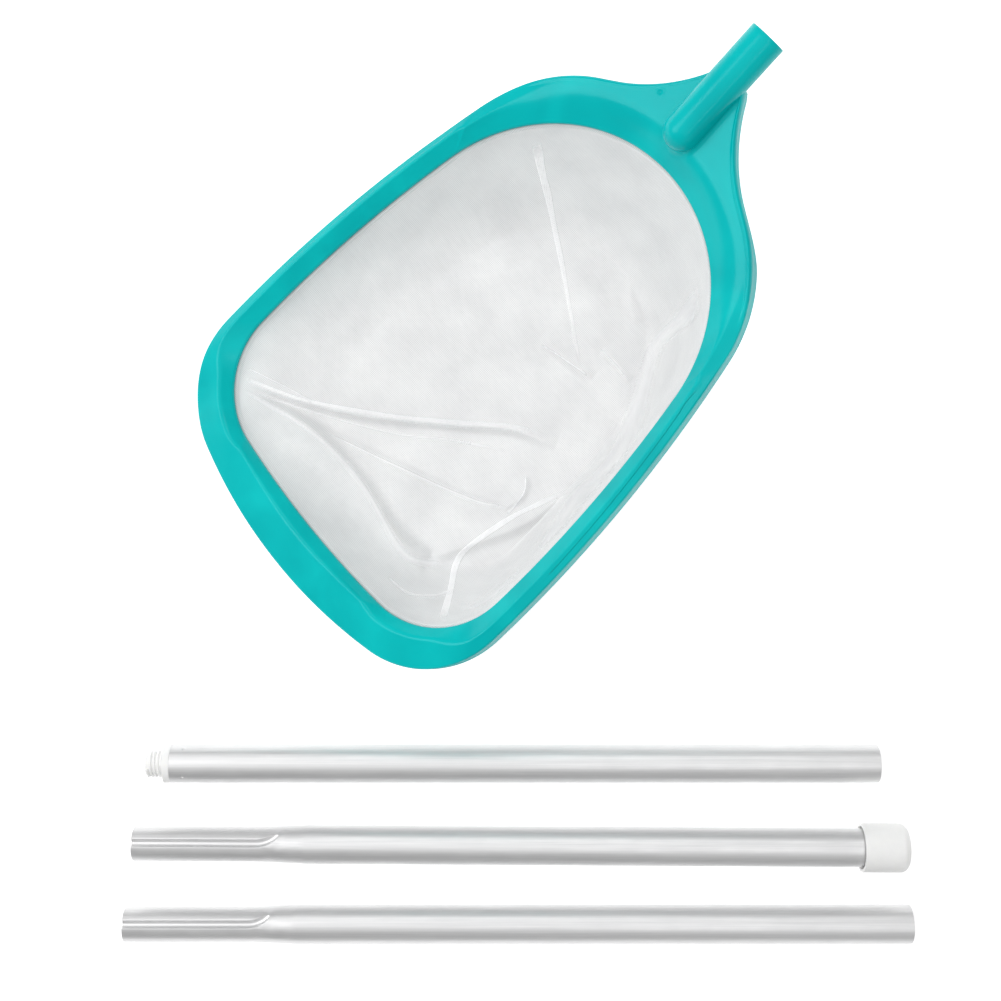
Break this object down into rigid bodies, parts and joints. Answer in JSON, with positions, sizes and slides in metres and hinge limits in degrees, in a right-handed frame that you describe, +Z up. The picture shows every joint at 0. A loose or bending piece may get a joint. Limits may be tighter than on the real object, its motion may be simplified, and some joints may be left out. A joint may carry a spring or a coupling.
{
  "type": "leaf skimmer net",
  "caption": "Deep-bag leaf skimmer for pools: a moulded net head with a mesh bag, laid out above its take-apart tube pole with a threaded tip, swaged ends and an end cap.",
  "frame": {"origin": "centre of the whole layout's box, on the surface that it lies on", "axes": "+X along the pole sections, threaded and swaged ends towards -X; +Y from the pole sections to the net head; +Z up"},
  "size_m": [0.454, 0.4954, 0.1349],
  "materials": {
    "frame_plastic": "glossy moulded polypropylene",
    "white_plastic": "satin white polyethylene",
    "anodised_tube": "satin anodised, drawn lengthwise",
    "mesh": "fine woven polyester mesh",
    "hem_webbing": "doubled mesh, sewn"
  },
  "bodies": {
    "head": {"net_frame": "frame_plastic", "retaining_ring": "frame_plastic", "hem_tape": "hem_webbing", "net_floor": "mesh", "net_wall_front": "mesh", "net_wall_rear": "mesh", "net_wall_left": "mesh", "net_wall_right": "mesh", "seam_rear_left": "hem_webbing", "seam_rear_right": "hem_webbing", "seam_front_left": "hem_webbing", "seam_front_right": "hem_webbing"},
    "front_section": {"front_tube": "anodised_tube", "threaded_tip": "white_plastic"},
    "middle_section": {"middle_tube": "anodised_tube"},
    "rear_section": {"rear_tube": "anodised_tube"},
    "cap": {"end_cap": "white_plastic"}
  },
  "joints": [
    {"name": "front_section_lift", "type": "slide", "parent": "head", "child": "front_section", "axis": [0, 0, 1], "range_m": [0, 0.25]},
    {"name": "middle_section_lift", "type": "slide", "parent": "head", "child": "middle_section", "axis": [0, 0, 1], "range_m": [0, 0.25]},
    {"name": "rear_section_lift", "type": "slide", "parent": "head", "child": "rear_section", "axis": [0, 0, 1], "range_m": [0, 0.25]},
    {"name": "end_cap_pull", "type": "slide", "parent": "middle_section", "child": "cap", "axis": [0.9999, -0.0035, 0.0097], "range_m": [0, 0.03]}
  ]
}
